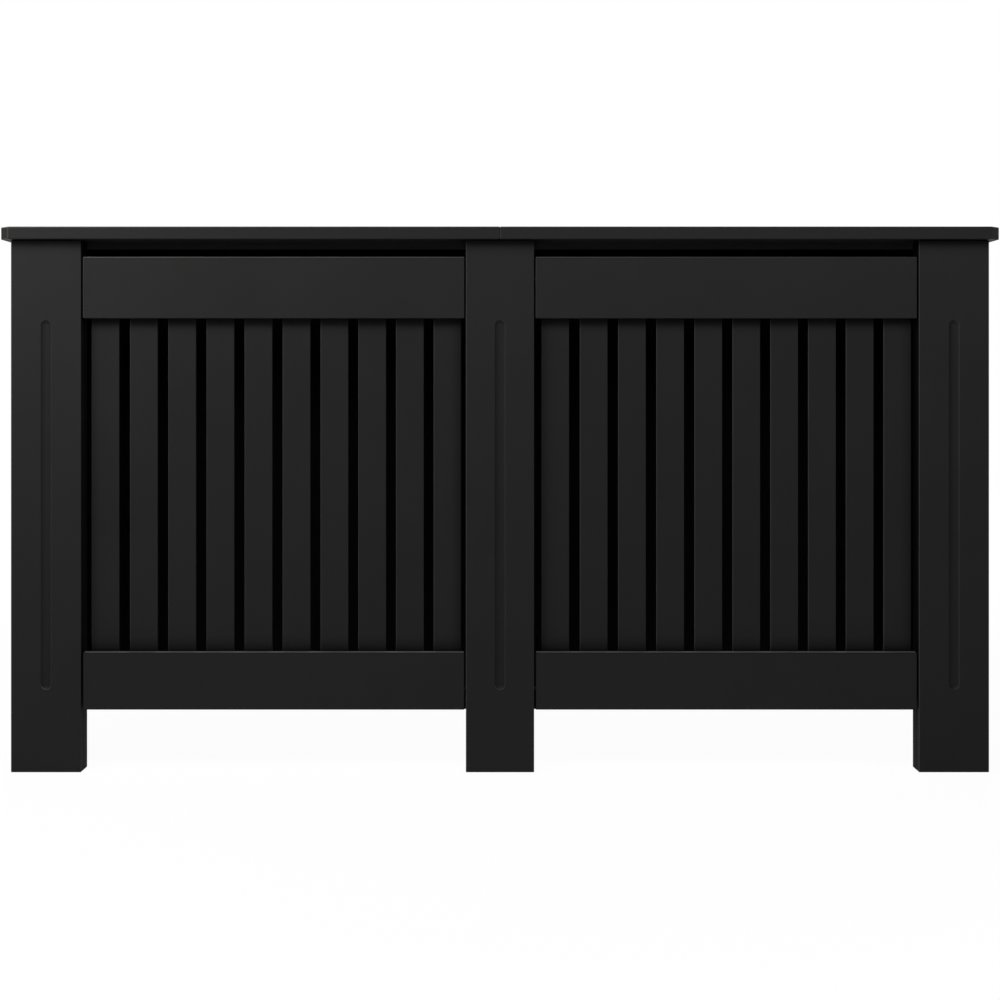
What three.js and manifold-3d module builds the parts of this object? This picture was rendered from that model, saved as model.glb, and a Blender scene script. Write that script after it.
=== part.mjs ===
// Radiator cover cabinet of painted fibreboard. Three grooved front legs carry two slatted
// bays, side panels run back to the wall, and a shelf top in two halves lies over them.
// The back and the underside are open: the radiator stands inside.
//
// Millimetres, +Z up, the front faces -Y. The origin is on the floor, at the middle of the
// footprint, so the front edge of the top is at -overallDepth / 2 and the wall is at
// +overallDepth / 2.

import * as THREE from "three";
import { mergeVertices } from "three/addons/utils/BufferGeometryUtils.js";
import Module from "manifold-3d";

// ---- Driving dimensions --------------------------------------------------------------

const overallWidth = 1520;
const overallDepth = 190;
const overallHeight = 830;

const fitGap = 0.3; // left between faces that touch
const boardThickness = 15; // legs, rails, side panels and cleat

const topThickness = 19;
const topOverhang = 15; // past the legs in front, and past the side panels
const cornerClip = 15; // 45 degree cut on the two front corners of the top

const outerLegWidth = 107;
const middleLegWidth = 104;
const grooveWidth = 16;
const grooveDepth = 3.5;
const grooveBottomZ = 126;
const grooveTopZ = 689;

const battenWidth = 30;
const battenDepth = 21;

const railSetback = 1.5; // rail face behind the leg face
const railEndGap = 2; // shadow gap between a rail's end and the leg
const bottomRailZ = 95;
const bottomRailHeight = 87;
const topRailZ = 691.5;
const topRailHeight = 94; // leaves the vent slot open under the top

const slatsPerBay = 10;
const slatWidth = 42.5;
const slatThickness = 6;
const slatPitch = 58.3;
const slatShift = 2.1; // the row of slats sits this far right of the bay's middle
const slatBow = 1.6; // and its middle slats this much further, as they were set by hand
const slatOverlap = 45; // run of a slat behind each rail

const skirtingHeight = 120; // notch at the foot of each side panel's rear edge
const skirtingDepth = 20;

const cleatWidth = 90; // board under the joint of the two top halves
const cleatRearInset = 20; // from the wall

const steelThickness = 2;
const steelBendRadius = 3; // outside of the bend
const bracketHoleDiameter = 4.5;
const smallBracket = { wing: 20, width: 15, holesFromBend: [13] };
const largeBracket = { wing: 30, width: 20, holesFromBend: [11, 23] };
const cornerBracketZs = { lower: 150, upper: 660 };
const topBracketYs = { front: -20, rear: 45 };
const seamBracketX = 38; // each side of the middle
const wallBracketX = 700; // each side of the middle, hidden by the outer legs

const paint = { color: 0x262626, roughness: 0.5, metalness: 0 };
const zincPlate = { color: 0xb9bcbe, roughness: 0.35, metalness: 0.9 };

// ---- Places worked out from them -----------------------------------------------------

const frontY = -overallDepth / 2;
const wallY = overallDepth / 2;
const bodyHalfWidth = overallWidth / 2 - topOverhang;
const legFrontY = frontY + topOverhang;
const legRearY = legFrontY + boardThickness;
const battenFrontY = legRearY + fitGap;
const battenRearY = battenFrontY + battenDepth;
const topUndersideZ = overallHeight - topThickness;
const uprightHeight = topUndersideZ - fitGap;

const bayWidth = bodyHalfWidth - outerLegWidth - middleLegWidth / 2;
const bayCentreX = (middleLegWidth + bayWidth) / 2;
const railFrontY = legFrontY + railSetback;
const railRearY = railFrontY + boardThickness;
const slatBottomZ = bottomRailZ + bottomRailHeight - slatOverlap;
const slatTopZ = topRailZ + slatOverlap;

// The cutter's ball is only sunk to the groove's depth, so its radius follows from the
// width and depth that it leaves.
const ballRadius = ((grooveWidth / 2) ** 2 + grooveDepth ** 2) / (2 * grooveDepth);

// Brackets at a rail's ends sit on the part of the rail that the slats leave bare.
const bottomRailBracketZ = (bottomRailZ + slatBottomZ) / 2;
const topRailBracketZ = (slatTopZ + topRailZ + topRailHeight) / 2;

const roundSegments = 12;
const ballSegments = 48;
const ballRings = ballSegments / 4; // from the ball's pole to its equator
const cutterClearance = 5; // how far a cutter stands out of the face that it cuts

const left = { word: "left", sign: -1 };
const right = { word: "right", sign: 1 };
const sides = [left, right];

// ---- Solids --------------------------------------------------------------------------

const wasm = await Module();
wasm.setup();

// A closed geometry as a solid that can be cut.
function toSolid(geometry) {
  const bare = geometry.clone();
  bare.deleteAttribute("normal");
  bare.deleteAttribute("uv");
  const merged = mergeVertices(bare);
  const mesh = new wasm.Mesh({
    numProp: 3,
    vertProperties: new Float32Array(merged.attributes.position.array),
    triVerts: new Uint32Array(merged.index.array),
  });
  return new wasm.Manifold(mesh);
}

function toGeometry(solid) {
  const mesh = solid.getMesh();
  const geometry = new THREE.BufferGeometry();
  geometry.setAttribute("position", new THREE.BufferAttribute(mesh.vertProperties, 3));
  geometry.setIndex(new THREE.BufferAttribute(mesh.triVerts, 1));
  const faceted = geometry.toNonIndexed();
  faceted.computeVertexNormals();
  return faceted;
}

function cutAway(geometry, cutters) {
  let solid = toSolid(geometry);
  for (const cutter of cutters) {
    solid = solid.subtract(toSolid(cutter));
  }
  return toGeometry(solid);
}

function namedMesh(name, geometry, finish) {
  const mesh = new THREE.Mesh(geometry, new THREE.MeshStandardMaterial(finish));
  mesh.name = name;
  return mesh;
}

// A plain sawn board between its lowest and highest corners.
function board(name, low, high) {
  const size = [0, 1, 2].map((axis) => high[axis] - low[axis]);
  const mesh = namedMesh(name, new THREE.BoxGeometry(...size), paint);
  mesh.position.set(...[0, 1, 2].map((axis) => (low[axis] + high[axis]) / 2));
  return mesh;
}

function polygon(points) {
  return new THREE.Shape(points.map(([x, y]) => new THREE.Vector2(x, y)));
}

// ---- Shelf top -----------------------------------------------------------------------

// One half of the top. It is drawn from above, from the middle joint outwards.
function topPanel(side) {
  const joint = (side.sign * fitGap) / 2;
  const end = (side.sign * overallWidth) / 2;
  const clippedEnd = end - side.sign * cornerClip;
  const outline = polygon([
    [joint, frontY],
    [clippedEnd, frontY],
    [end, frontY + cornerClip],
    [end, wallY],
    [joint, wallY],
  ]);
  const geometry = new THREE.ExtrudeGeometry(outline, {
    depth: topThickness,
    bevelEnabled: false,
  });
  const mesh = namedMesh(`top_panel_${side.word}`, geometry, paint);
  mesh.position.z = topUndersideZ;
  return mesh;
}

// The cleat is screwed up into both halves across their joint, behind the middle leg.
function seamCleat() {
  const topZ = topUndersideZ - fitGap;
  return board(
    "seam_cleat",
    [-cleatWidth / 2, battenRearY + fitGap, topZ - boardThickness],
    [cleatWidth / 2, wallY - cleatRearInset, topZ],
  );
}

// ---- Legs and battens ----------------------------------------------------------------

// The path of a ball-nosed cutter, with its length upright.
function grooveCutter() {
  const run = grooveTopZ - grooveBottomZ - grooveWidth;
  const path = new THREE.CapsuleGeometry(ballRadius, run, ballRings, ballSegments);
  return path.rotateX(Math.PI / 2);
}

function leg(name, centreX, width) {
  const centreZ = uprightHeight / 2;
  const plain = new THREE.BoxGeometry(width, boardThickness, uprightHeight);
  const cutter = grooveCutter();
  const grooveCentreZ = (grooveBottomZ + grooveTopZ) / 2 - centreZ;
  cutter.translate(0, grooveDepth - boardThickness / 2 - ballRadius, grooveCentreZ);
  const mesh = namedMesh(name, cutAway(plain, [cutter]), paint);
  mesh.position.set(centreX, (legFrontY + legRearY) / 2, centreZ);
  return mesh;
}

// A batten stands behind a leg, flush with the leg's edge towards the bay.
function batten(name, bayEdgeX, towardsLeg) {
  const farX = bayEdgeX + towardsLeg * battenWidth;
  return board(
    name,
    [Math.min(bayEdgeX, farX), battenFrontY, 0],
    [Math.max(bayEdgeX, farX), battenRearY, uprightHeight],
  );
}

function sidePanel(side) {
  const depth = wallY - battenFrontY;
  const profile = polygon([
    [0, 0],
    [depth - skirtingDepth, 0],
    [depth - skirtingDepth, skirtingHeight],
    [depth, skirtingHeight],
    [depth, uprightHeight],
    [0, uprightHeight],
  ]);
  const geometry = new THREE.ExtrudeGeometry(profile, {
    depth: boardThickness,
    bevelEnabled: false,
  });
  // The profile's run becomes +Y, its height +Z, and the thickness +X.
  const turn = new THREE.Matrix4().makeBasis(
    new THREE.Vector3(0, 1, 0),
    new THREE.Vector3(0, 0, 1),
    new THREE.Vector3(1, 0, 0),
  );
  const mesh = namedMesh(`side_panel_${side.word}`, geometry, paint);
  mesh.quaternion.setFromRotationMatrix(turn);
  const outerX = side.sign * bodyHalfWidth;
  mesh.position.set(Math.min(outerX, outerX - side.sign * boardThickness), battenFrontY, 0);
  return mesh;
}

// ---- Slatted bays --------------------------------------------------------------------

function rail(name, bottomZ, height) {
  const halfLength = bayWidth / 2 - railEndGap;
  return board(
    name,
    [-halfLength, railFrontY, bottomZ],
    [halfLength, railRearY, bottomZ + height],
  );
}

function slat(name, centreX) {
  const slatFrontY = railRearY + fitGap;
  return board(
    name,
    [centreX - slatWidth / 2, slatFrontY, slatBottomZ],
    [centreX + slatWidth / 2, slatFrontY + slatThickness, slatTopZ],
  );
}

// Rails and slats of one bay, in a group that stands at the bay's middle.
function bay(side) {
  const group = new THREE.Group();
  group.position.x = side.sign * bayCentreX;
  group.add(rail(`bottom_rail_${side.word}`, bottomRailZ, bottomRailHeight));
  group.add(rail(`top_rail_${side.word}`, topRailZ, topRailHeight));
  for (let i = 0; i < slatsPerBay; i += 1) {
    const fromMiddle = i - (slatsPerBay - 1) / 2;
    const bow = slatBow * (1 - (2 * fromMiddle / (slatsPerBay - 1)) ** 2);
    group.add(slat(`slat_${side.word}_${i + 1}`, slatShift + bow + fromMiddle * slatPitch));
  }
  return group;
}

// ---- Angle brackets ------------------------------------------------------------------

// A bent strip of steel. Its two contact faces lie on the planes x = 0 and y = 0, its wings
// run towards +X and +Y, and its width runs both ways along Z.
function bracketGeometry({ wing, width, holesFromBend }) {
  const innerBend = steelBendRadius - steelThickness;
  const outline = new THREE.Shape();
  outline.moveTo(wing, 0);
  outline.lineTo(wing, steelThickness);
  outline.lineTo(steelBendRadius, steelThickness);
  outline.absarc(steelBendRadius, steelBendRadius, innerBend, -Math.PI / 2, -Math.PI, true);
  outline.lineTo(steelThickness, wing);
  outline.lineTo(0, wing);
  outline.lineTo(0, steelBendRadius);
  outline.absarc(steelBendRadius, steelBendRadius, steelBendRadius, Math.PI, 1.5 * Math.PI);
  outline.closePath();
  const strip = new THREE.ExtrudeGeometry(outline, {
    depth: width,
    bevelEnabled: false,
    curveSegments: 3,
  });
  strip.translate(0, 0, -width / 2);

  const drill = new THREE.CylinderGeometry(
    bracketHoleDiameter / 2,
    bracketHoleDiameter / 2,
    steelThickness + 2 * cutterClearance,
    roundSegments,
  );
  const drills = holesFromBend.flatMap((distance) => [
    drill.clone().translate(distance, 0, 0),
    drill.clone().rotateZ(Math.PI / 2).translate(0, distance, 0),
  ]);
  return cutAway(strip, drills);
}

// Sets a bracket into an inside corner: its wings run along wingX and wingY.
function bracket(name, pattern, corner, wingX, wingY) {
  const xAxis = new THREE.Vector3(...wingX);
  const yAxis = new THREE.Vector3(...wingY);
  const zAxis = new THREE.Vector3().crossVectors(xAxis, yAxis);
  const turn = new THREE.Matrix4().makeBasis(xAxis, yAxis, zAxis);
  const mesh = namedMesh(name, bracketGeometry(pattern), zincPlate);
  mesh.quaternion.setFromRotationMatrix(turn);
  mesh.position.set(...corner);
  return mesh;
}

const towardsWall = [0, 1, 0];
const towardsFront = [0, -1, 0];
const down = [0, 0, -1];
const across = (sign) => [sign, 0, 0];

// A rail is held at both ends, against the battens that flank its bay.
function railBrackets(side) {
  const rows = [
    ["bottom", bottomRailBracketZ],
    ["top", topRailBracketZ],
  ];
  return sides.flatMap((end) => {
    const battenX = side.sign * bayCentreX + end.sign * (bayWidth / 2 - fitGap);
    return rows.map(([row, z]) =>
      bracket(
        `rail_bracket_${side.word}_${row}_${end.word}`,
        smallBracket,
        [battenX, railRearY + fitGap, z],
        across(-end.sign),
        towardsWall,
      ),
    );
  });
}

function cornerBrackets(side) {
  const innerFaceX = side.sign * (bodyHalfWidth - boardThickness - fitGap);
  return Object.entries(cornerBracketZs).map(([level, z]) =>
    bracket(
      `corner_bracket_${side.word}_${level}`,
      largeBracket,
      [innerFaceX, battenFrontY, z],
      across(-side.sign),
      towardsWall,
    ),
  );
}

function topBrackets(side) {
  const innerFaceX = side.sign * (bodyHalfWidth - boardThickness - fitGap);
  return Object.entries(topBracketYs).map(([place, y]) =>
    bracket(
      `top_bracket_${side.word}_${place}`,
      largeBracket,
      [innerFaceX, y, topUndersideZ - fitGap],
      across(-side.sign),
      down,
    ),
  );
}

function seamBracket(side) {
  const cleatUndersideZ = topUndersideZ - 2 * fitGap - boardThickness;
  return bracket(
    `seam_bracket_${side.word}`,
    largeBracket,
    [side.sign * seamBracketX, battenRearY + fitGap, cleatUndersideZ],
    towardsWall,
    down,
  );
}

// The upright wing is flush with the rear edges of the side panels and takes the wall screws.
function wallBracket(side) {
  return bracket(
    `wall_bracket_${side.word}`,
    largeBracket,
    [side.sign * wallBracketX, wallY, topUndersideZ - fitGap],
    towardsFront,
    down,
  );
}

// ---- Assembly ------------------------------------------------------------------------

const cabinet = new THREE.Group();
const outerBayEdgeX = bayCentreX + bayWidth / 2;
const innerBayEdgeX = middleLegWidth / 2;

cabinet.add(leg("leg_middle", 0, middleLegWidth));
cabinet.add(seamCleat());
for (const side of sides) {
  cabinet.add(topPanel(side));
  const outerLegX = side.sign * (outerBayEdgeX + outerLegWidth / 2);
  cabinet.add(leg(`leg_${side.word}`, outerLegX, outerLegWidth));
  cabinet.add(batten(`batten_${side.word}`, side.sign * outerBayEdgeX, side.sign));
  cabinet.add(batten(`batten_middle_${side.word}`, side.sign * innerBayEdgeX, -side.sign));
  cabinet.add(sidePanel(side));
  cabinet.add(bay(side));
  cabinet.add(...railBrackets(side), ...cornerBrackets(side), ...topBrackets(side));
  cabinet.add(seamBracket(side), wallBracket(side));
}

export default cabinet;
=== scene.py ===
# %% [markdown]
# # Radiator cover cabinet: dressing a fibreboard cover in satin black paint
#
# The cover is flat-pack furniture. Three grooved legs, two slatted bays, two side panels
# and a shelf top in two halves are cut from fibreboard, sprayed black and screwed
# together with steel angle brackets. Its solids already exist at their real size, and
# this lesson gives them their looks: softened arrises, paint, zinc plate, screws, and
# the soft studio light that makes a black thing readable.

# %% Load the solids and keep their box
import math
import random

import bmesh
import bpy
from mathutils import Matrix, Vector


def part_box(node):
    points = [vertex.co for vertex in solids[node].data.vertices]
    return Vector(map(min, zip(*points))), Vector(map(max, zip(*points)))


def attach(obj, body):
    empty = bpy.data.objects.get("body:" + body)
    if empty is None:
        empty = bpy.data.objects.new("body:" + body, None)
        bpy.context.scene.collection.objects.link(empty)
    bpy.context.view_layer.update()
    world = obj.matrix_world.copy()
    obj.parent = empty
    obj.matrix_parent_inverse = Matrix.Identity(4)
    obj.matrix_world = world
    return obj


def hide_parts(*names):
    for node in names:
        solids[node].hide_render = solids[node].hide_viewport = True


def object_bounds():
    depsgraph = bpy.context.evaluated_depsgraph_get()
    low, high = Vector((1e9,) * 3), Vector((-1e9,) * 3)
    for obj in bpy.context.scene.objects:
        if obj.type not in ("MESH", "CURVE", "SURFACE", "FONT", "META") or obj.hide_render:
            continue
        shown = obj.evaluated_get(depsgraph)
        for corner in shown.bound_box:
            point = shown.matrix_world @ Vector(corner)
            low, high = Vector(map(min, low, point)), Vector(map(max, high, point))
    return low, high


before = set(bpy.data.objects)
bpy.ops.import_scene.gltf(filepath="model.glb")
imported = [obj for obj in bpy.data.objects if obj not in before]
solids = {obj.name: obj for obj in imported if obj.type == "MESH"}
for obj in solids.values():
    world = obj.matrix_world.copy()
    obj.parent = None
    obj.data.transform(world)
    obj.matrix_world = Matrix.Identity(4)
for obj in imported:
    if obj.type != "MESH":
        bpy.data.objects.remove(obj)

cad_low, cad_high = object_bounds()
print("solids:", len(solids), "overall size in metres:", tuple(cad_high - cad_low))

# %% [markdown]
# ## Sizes that every later cell shares
#
# Each solid's box is read from the frame, so nothing is typed twice. The few sizes that
# a box can't tell, such as the routed groove, are the real ones. Values that are typed have
# names in capitals, and values that are read from the frame have names in small letters.

# %% Shared sizes
MM = 0.001

leg_low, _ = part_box("leg_middle")
_, panel_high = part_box("side_panel_left")
top_low, top_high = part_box("top_panel_left")

leg_face_y = leg_low.y
wall_y = cad_high.y
panel_inner_x = panel_high.x

GROOVE_WIDTH = 16 * MM
GROOVE_DEPTH = 3.5 * MM
GROOVE_BOTTOM_Z = 126 * MM
GROOVE_TOP_Z = 689 * MM

print("leg face at y =", round(leg_face_y, 4), "wall at y =", round(wall_y, 4))

# %% [markdown]
# ## Camera
#
# The picture has upright lines that stay parallel, although the floor line is below the
# eye. That is a level camera whose lens is shifted down, as product photographers work.
# The visible insides of the outer legs give the distance, and the underside of the top
# gives the eye height.

# %% Camera at the photograph's viewpoint
SENSOR_WIDTH_MM = 36
IMAGE_PIXELS = 1000
FOCAL_LENGTH_PIXELS = 1576
HORIZON_PIXEL_ROW = 385
CAMERA_DISTANCE = 2.400
CAMERA_HEIGHT = 0.590

camera_data = bpy.data.cameras.new("camera")
camera_data.sensor_width = SENSOR_WIDTH_MM
camera_data.lens = SENSOR_WIDTH_MM * FOCAL_LENGTH_PIXELS / IMAGE_PIXELS
camera_data.shift_y = (HORIZON_PIXEL_ROW - IMAGE_PIXELS / 2) / IMAGE_PIXELS
camera = bpy.data.objects.new("camera", camera_data)
camera.location = (0, leg_face_y - CAMERA_DISTANCE, CAMERA_HEIGHT)
camera.rotation_euler = (math.radians(90), 0, 0)
bpy.context.scene.collection.objects.link(camera)
bpy.context.scene.camera = camera
print("lens", round(camera_data.lens, 2), "mm, shift", round(camera_data.shift_y, 4))

# %% [markdown]
# ## Light
#
# Black satin paint is drawn by where its light comes from. The shadows in the picture tell
# that: under the top and under the upper rail they are as deep as light from a third of
# the way up makes them, and each groove is dark on its left side. So a long soft box hangs
# above eye height in front, left of the middle, a weaker one stands to the left, and a
# small one near the left leg makes that end the brightest. One on the right fills in.

# %% Area lights
bpy.context.scene.view_settings.view_transform = "Standard"


def soft_box(name, place, target, width, height, watts):
    """A rectangular area lamp at place that faces target."""
    data = bpy.data.lights.new(name, "AREA")
    data.shape = "RECTANGLE"
    data.size, data.size_y = width, height
    data.energy = watts
    lamp = bpy.data.objects.new(name, data)
    lamp.location = place
    towards = Vector(target) - Vector(place)
    lamp.rotation_euler = towards.to_track_quat("-Z", "Y").to_euler()
    bpy.context.scene.collection.objects.link(lamp)
    return lamp


soft_box("front_strip", (-0.5, -1.3, 1.7), (-0.3, 0, 0.75), width=1.8, height=0.5, watts=13.9)
soft_box("left_box", (-2.2, -0.8, 1.2), (-0.3, 0, 0.5), width=1.2, height=1.2, watts=6.9)
soft_box("left_near_box", (-1.0, -0.7, 1.15), (-0.6, 0, 0.7), width=0.5, height=0.5, watts=5.3)
soft_box("right_box", (0.8, -1.2, 1.5), (0.48, 0, 0.7), width=0.9, height=0.9, watts=9.4)
print("lamps in watts:", {lamp.name: lamp.energy for lamp in bpy.data.lights})

# %% [markdown]
# ## Small helpers for shader nodes
#
# Blender's node trees can be clicked together or written. Written nodes need three lines
# each, so a few helpers keep the cells below short: one for arithmetic, one that stretches
# a range of numbers onto another, and one that mixes two numbers. Each takes plain numbers
# or the outputs of other nodes.

# %% Helpers for node arithmetic
def plug(tree, value, socket):
    """Feeds a socket with another node's output or with a plain value."""
    if isinstance(value, bpy.types.NodeSocket):
        tree.links.new(value, socket)
    else:
        socket.default_value = value


def calculate(tree, operation, first, second=0.0):
    """A math node."""
    node = tree.nodes.new("ShaderNodeMath")
    node.operation = operation
    plug(tree, first, node.inputs[0])
    plug(tree, second, node.inputs[1])
    return node.outputs[0]


def remap(tree, value, low, high, to_low, to_high):
    """Maps value from low..high to to_low..to_high and stops at both ends."""
    node = tree.nodes.new("ShaderNodeMapRange")
    plug(tree, value, node.inputs["Value"])
    plug(tree, low, node.inputs["From Min"])
    plug(tree, high, node.inputs["From Max"])
    plug(tree, to_low, node.inputs["To Min"])
    plug(tree, to_high, node.inputs["To Max"])
    return node.outputs["Result"]


def mix_number(tree, factor, first, second):
    """Mixes two numbers: the first at factor 0, the second at factor 1."""
    node = tree.nodes.new("ShaderNodeMix")
    plug(tree, factor, node.inputs[0])
    plug(tree, first, node.inputs[2])
    plug(tree, second, node.inputs[3])
    return node.outputs[0]


# %% [markdown]
# ## Surroundings
#
# The backdrop is plain white and the room behind the camera is dim, which is why a black
# cabinet can look black in a white picture. The world is made the same way. Every ray from
# the camera meets white, and mirrors and glass meet white behind and above and the dim
# room in front. The world also lights the cabinet's back, its inside and a little of its
# sides, where the soft boxes don't reach.

# %% World: a white studio that is dim behind the camera
REAR_BRIGHTNESS = 1.1
WHITE_FROM = -0.15
WHITE_FULL = 0.45


def looking_rays(tree):
    """Two masks: rays straight from the camera, and rays that a mirror or glass sends on."""
    rays = tree.nodes.new("ShaderNodeLightPath")
    mirrored = calculate(
        tree, "MAXIMUM", rays.outputs["Is Glossy Ray"], rays.outputs["Is Transmission Ray"]
    )
    return rays.outputs["Is Camera Ray"], mirrored


def white_studio():
    """A world that is white to the camera, and behind and above the cabinet to mirrors."""
    world = bpy.data.worlds.new("white studio")
    world.use_nodes = True
    tree = world.node_tree
    tree.nodes.clear()
    direction = tree.nodes.new("ShaderNodeTexCoord")
    split = tree.nodes.new("ShaderNodeSeparateXYZ")
    tree.links.new(direction.outputs["Generated"], split.inputs[0])
    back, up = split.outputs["Y"], split.outputs["Z"]
    ambient = remap(tree, back, 0, 1, 0, REAR_BRIGHTNESS)
    white = remap(tree, calculate(tree, "ADD", back, up), WHITE_FROM, WHITE_FULL, 0, 1)
    camera_ray, mirrored = looking_rays(tree)
    seen = calculate(tree, "MAXIMUM", camera_ray, calculate(tree, "MULTIPLY", mirrored, white))
    background = tree.nodes.new("ShaderNodeBackground")
    background.inputs["Color"].default_value = (1, 1, 1, 1)
    strength = mix_number(tree, seen, ambient, 1)
    tree.links.new(strength, background.inputs["Strength"])
    output = tree.nodes.new("ShaderNodeOutputWorld")
    tree.links.new(background.outputs[0], output.inputs["Surface"])
    return world


bpy.context.scene.world = white_studio()
print("world brightness straight behind the cabinet", REAR_BRIGHTNESS)

# %% [markdown]
# ## Floor
#
# The floor is plain and pale. Looked at directly or in a mirror it is nearly as white as
# the backdrop, and it still darkens where the cabinet keeps the light off it. Farther off
# the lamps no longer reach it, so its white rises a little there and no horizon shows.

# %% Floor that is white to the eye and keeps the shadow
FLOOR_SIZE = 12
FLOOR_COLOUR = (0.8, 0.8, 0.8, 1)
FLOOR_SHADOW_SHARE = 0.06
NEAR_CABINET, FAR_OFF = 0.8, 3.0
NEAR_WHITE, FAR_WHITE = 1.02, 1 / (1 - FLOOR_SHADOW_SHARE)


def pale_floor_finish():
    """Mostly white light for rays that look at it, and a plain pale surface for the rest."""
    material = bpy.data.materials.new("pale floor")
    material.use_nodes = True
    tree = material.node_tree
    tree.nodes.clear()
    lit = tree.nodes.new("ShaderNodeBsdfDiffuse")
    lit.inputs["Color"].default_value = FLOOR_COLOUR
    white = tree.nodes.new("ShaderNodeEmission")
    distance = tree.nodes.new("ShaderNodeVectorMath")
    distance.operation = "LENGTH"
    tree.links.new(tree.nodes.new("ShaderNodeNewGeometry").outputs["Position"], distance.inputs[0])
    rise = remap(tree, distance.outputs["Value"], NEAR_CABINET, FAR_OFF, NEAR_WHITE, FAR_WHITE)
    tree.links.new(rise, white.inputs["Strength"])
    seen = calculate(tree, "MAXIMUM", *looking_rays(tree))
    share = calculate(tree, "MULTIPLY", seen, 1 - FLOOR_SHADOW_SHARE)
    blend = tree.nodes.new("ShaderNodeMixShader")
    tree.links.new(share, blend.inputs["Fac"])
    tree.links.new(lit.outputs[0], blend.inputs[1])
    tree.links.new(white.outputs[0], blend.inputs[2])
    output = tree.nodes.new("ShaderNodeOutputMaterial")
    tree.links.new(blend.outputs[0], output.inputs["Surface"])
    return material


def flat_sheet(name, corners, material):
    """One staged flat sheet, such as the floor or a card."""
    mesh = bpy.data.meshes.new(name)
    mesh.from_pydata(corners, [], [tuple(range(len(corners)))])
    mesh.materials.append(material)
    sheet = bpy.data.objects.new(name, mesh)
    bpy.context.scene.collection.objects.link(sheet)
    return sheet


reach = FLOOR_SIZE / 2
flat_sheet(
    "floor",
    [(-reach, -reach, 0), (reach, -reach, 0), (reach, reach, 0), (-reach, reach, 0)],
    pale_floor_finish(),
)
print("floor", FLOOR_SIZE, "m square")

# %% [markdown]
# ## Black card behind the grille
#
# The cover has no back: against a wall, the radiator and its shadow fill the gaps. Here the
# gaps are black down to the lower rail, so a black card stands at the wall plane as painted
# shade for the inside of the cover. It reaches up behind the shelf top, so no light comes
# through the joint between the two halves. Its lower edge has steps: high behind the side
# panels, whose skirting notches stay open, low behind the two bays, and lowest behind the
# joints beside the middle leg. It isn't part of the cover. It is opaque only to what looks at
# it from the front and not along it, so from behind one looks into the open cover, and light
# from behind falls in.

# %% Card at the wall plane, opaque from the front only
CARD_GAP = 0.5 * MM
CARD_TOP_DROP = 1 * MM
CARD_STEPS = ((panel_inner_x + CARD_GAP, 125 * MM), (-700 * MM, 68 * MM), (-60 * MM, 60.5 * MM))
# The card's near black is painted shade for the inside of the cover.
CARD_COLOUR = (0.005, 0.005, 0.005, 1)
ALONG_CARD = 0.8

card_top = top_high.z - CARD_TOP_DROP
card_y = wall_y + CARD_GAP


def card_outline():
    """Corners of the card, from the top left down its steps and up to the top right."""
    left_half = [(CARD_STEPS[0][0], card_top)]
    for i, (x, bottom_z) in enumerate(CARD_STEPS):
        if i:
            left_half.append((x, CARD_STEPS[i - 1][1]))
        left_half.append((x, bottom_z))
    right_half = [(-x, z) for x, z in reversed(left_half)]
    return [(x, card_y, z) for x, z in left_half + right_half]


def painted_shade_card_finish():
    """Painted shade: dull black to what looks from the front, and clear to the rest."""
    material = bpy.data.materials.new("painted shade card")
    material.use_nodes = True
    tree = material.node_tree
    tree.nodes.clear()
    dark = tree.nodes.new("ShaderNodeBsdfDiffuse")
    dark.inputs["Color"].default_value = CARD_COLOUR
    clear = tree.nodes.new("ShaderNodeBsdfTransparent")
    surface = tree.nodes.new("ShaderNodeNewGeometry")
    from_front = calculate(tree, "SUBTRACT", 1.0, surface.outputs["Backfacing"])
    turned_away = tree.nodes.new("ShaderNodeLayerWeight").outputs["Facing"]
    across = calculate(tree, "LESS_THAN", turned_away, ALONG_CARD)
    looking = calculate(tree, "MAXIMUM", *looking_rays(tree))
    opaque = calculate(tree, "MULTIPLY", calculate(tree, "MULTIPLY", from_front, across), looking)
    blend = tree.nodes.new("ShaderNodeMixShader")
    tree.links.new(opaque, blend.inputs["Fac"])
    tree.links.new(clear.outputs[0], blend.inputs[1])
    tree.links.new(dark.outputs[0], blend.inputs[2])
    output = tree.nodes.new("ShaderNodeOutputMaterial")
    tree.links.new(blend.outputs[0], output.inputs["Surface"])
    return material


flat_sheet("painted_shade_card", card_outline(), painted_shade_card_finish())
print("corners of the card:", [(round(x, 3), round(z, 3)) for x, _, z in card_outline()])

# %% [markdown]
# ## Effects that several finishes share
#
# A shader node group is written once and placed in every finish with its own values. Each
# group here puts out only colours, masks and heights; the Principled shader stays in the
# material itself.

# %% Helpers for building node groups
NOISE_LOW, NOISE_HIGH = 0.3, 0.7


def new_group(name, inputs, outputs):
    """A shader node group. inputs are (name, kind, default), outputs are (name, kind)."""
    tree = bpy.data.node_groups.new(name, "ShaderNodeTree")
    for label, kind, default in inputs:
        socket = tree.interface.new_socket(label, in_out="INPUT", socket_type=f"NodeSocket{kind}")
        if default is not None:
            socket.default_value = default
    for label, kind in outputs:
        tree.interface.new_socket(label, in_out="OUTPUT", socket_type=f"NodeSocket{kind}")
    return tree, tree.nodes.new("NodeGroupInput"), tree.nodes.new("NodeGroupOutput")


def noise(tree, vector, cells_per_metre, detail=2.0, roughness=0.5):
    """A noise texture between 0 and 1."""
    node = tree.nodes.new("ShaderNodeTexNoise")
    node.inputs["Detail"].default_value = detail
    node.inputs["Roughness"].default_value = roughness
    plug(tree, vector, node.inputs["Vector"])
    plug(tree, cells_per_metre, node.inputs["Scale"])
    return node.outputs["Fac"]


def drift(tree, vector, cells_per_metre, low, high, detail=2.0):
    """Noise that wanders between low and high."""
    patches = noise(tree, vector, cells_per_metre, detail)
    return remap(tree, patches, NOISE_LOW, NOISE_HIGH, low, high)


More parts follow.
